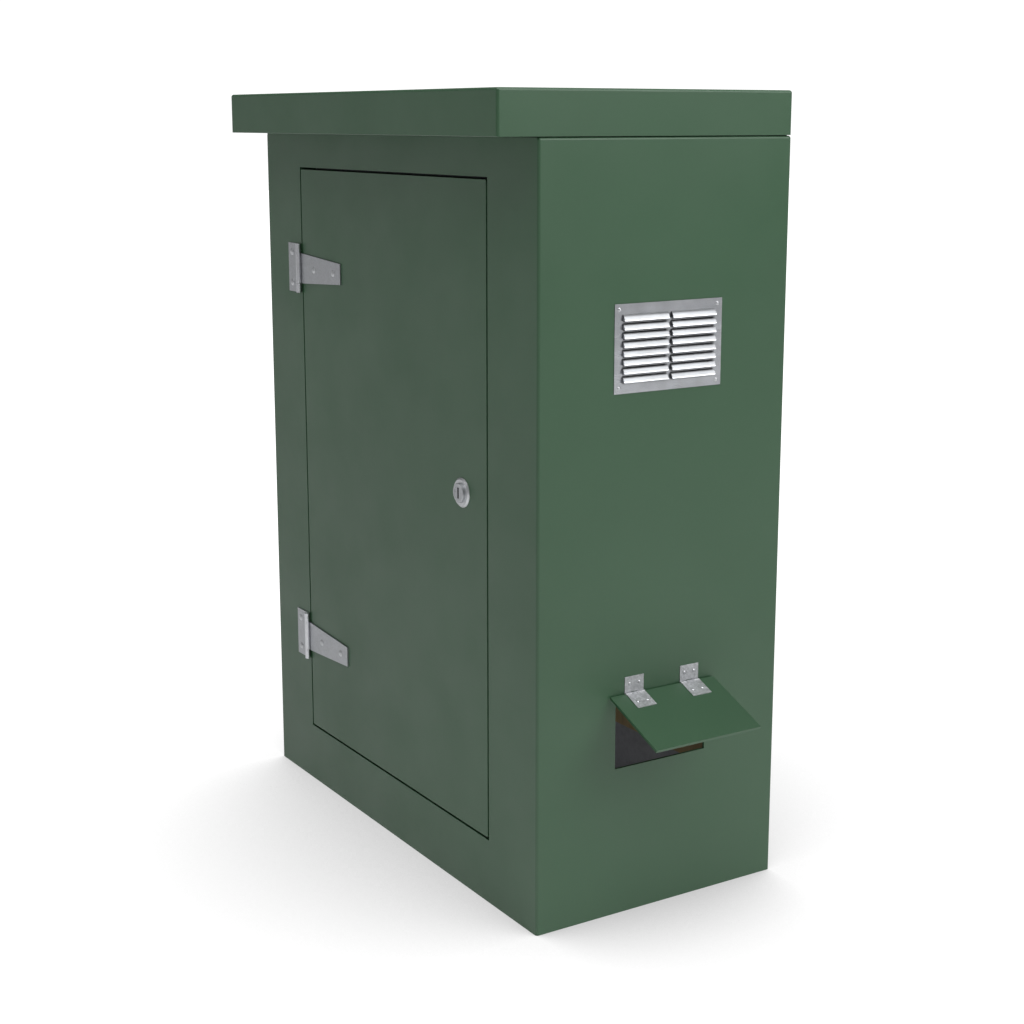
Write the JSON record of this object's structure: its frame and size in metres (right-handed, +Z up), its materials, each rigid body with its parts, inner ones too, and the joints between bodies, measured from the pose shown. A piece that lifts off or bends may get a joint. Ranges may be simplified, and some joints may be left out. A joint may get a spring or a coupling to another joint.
{
  "type": "roadside utility cabinet",
  "caption": "Moulded green kiosk cabinet with an overhanging flat roof, a flush door on T hinges with a round lock, a side louvre vent and a top-hung cable flap.",
  "frame": {"origin": "centre of the foot, on the ground: the middle of the four holding-down holes", "axes": "+Z up, the door faces -Y, +X to the right as one faces the door, towards the vented side"},
  "size_m": [1.1909, 0.608, 1.456],
  "materials": {
    "grp_green": "satin",
    "seal_rubber": "matte",
    "zinc_steel": "satin",
    "bright_fixings": "satin",
    "vent_aluminium": "satin",
    "screen_wire": "matte",
    "plywood": "matte",
    "batten_timber": "matte",
    "board_screws": "satin",
    "lock_chrome": "satin",
    "lock_plug_metal": "satin"
  },
  "bodies": {
    "cabinet": {"body_shell": "grp_green", "roof_canopy": "grp_green", "roof_soffit": "grp_green", "roof_seal": "seal_rubber", "roof_bolts": "bright_fixings", "roof_washers": "bright_fixings", "roof_nuts": "bright_fixings", "door_seal": "seal_rubber", "upper_hinge_plate": "zinc_steel", "lower_hinge_plate": "zinc_steel", "upper_hinge_pin": "zinc_steel", "lower_hinge_pin": "zinc_steel", "hinge_plate_bolts": "bright_fixings", "hinge_plate_nuts": "bright_fixings", "lock_keeper": "zinc_steel", "keeper_rivets": "bright_fixings", "vent_louvre": "vent_aluminium", "vent_screen": "screen_wire", "vent_screws": "bright_fixings", "vent_nuts": "bright_fixings", "front_wall_leaf": "zinc_steel", "rear_wall_leaf": "zinc_steel", "flap_hinge_pins": "zinc_steel", "wall_leaf_rivets": "bright_fixings", "backboard": "plywood", "backboard_battens": "batten_timber", "backboard_screws": "board_screws"},
    "door": {"door_panel": "grp_green", "door_liner": "grp_green", "upper_hinge_strap": "zinc_steel", "lower_hinge_strap": "zinc_steel", "strap_bolts": "bright_fixings", "strap_nuts": "bright_fixings", "lock_escutcheon": "lock_chrome", "lock_housing": "lock_chrome", "lock_nut": "bright_fixings"},
    "lock": {"lock_plug": "lock_plug_metal", "lock_cam": "zinc_steel", "cam_screw": "bright_fixings"},
    "flap": {"flap_panel": "grp_green", "front_flap_leaf": "zinc_steel", "rear_flap_leaf": "zinc_steel", "flap_leaf_rivets": "bright_fixings"}
  },
  "joints": [
    {"name": "door_hinge", "type": "hinge", "parent": "cabinet", "child": "door", "pos_m": [-0.371, -0.2705, 0.715], "axis": [0, 0, -1], "range_deg": [0, 175]},
    {"name": "lock_turn", "type": "hinge", "parent": "door", "child": "lock", "pos_m": [0.277, -0.265, 0.752], "axis": [0, 1, 0], "range_deg": [0, 90]},
    {"name": "flap_hinge", "type": "hinge", "parent": "cabinet", "child": "flap", "pos_m": [0.5285, 0, 0.41175], "axis": [0, -1, 0], "range_deg": [-68, 72]}
  ]
}
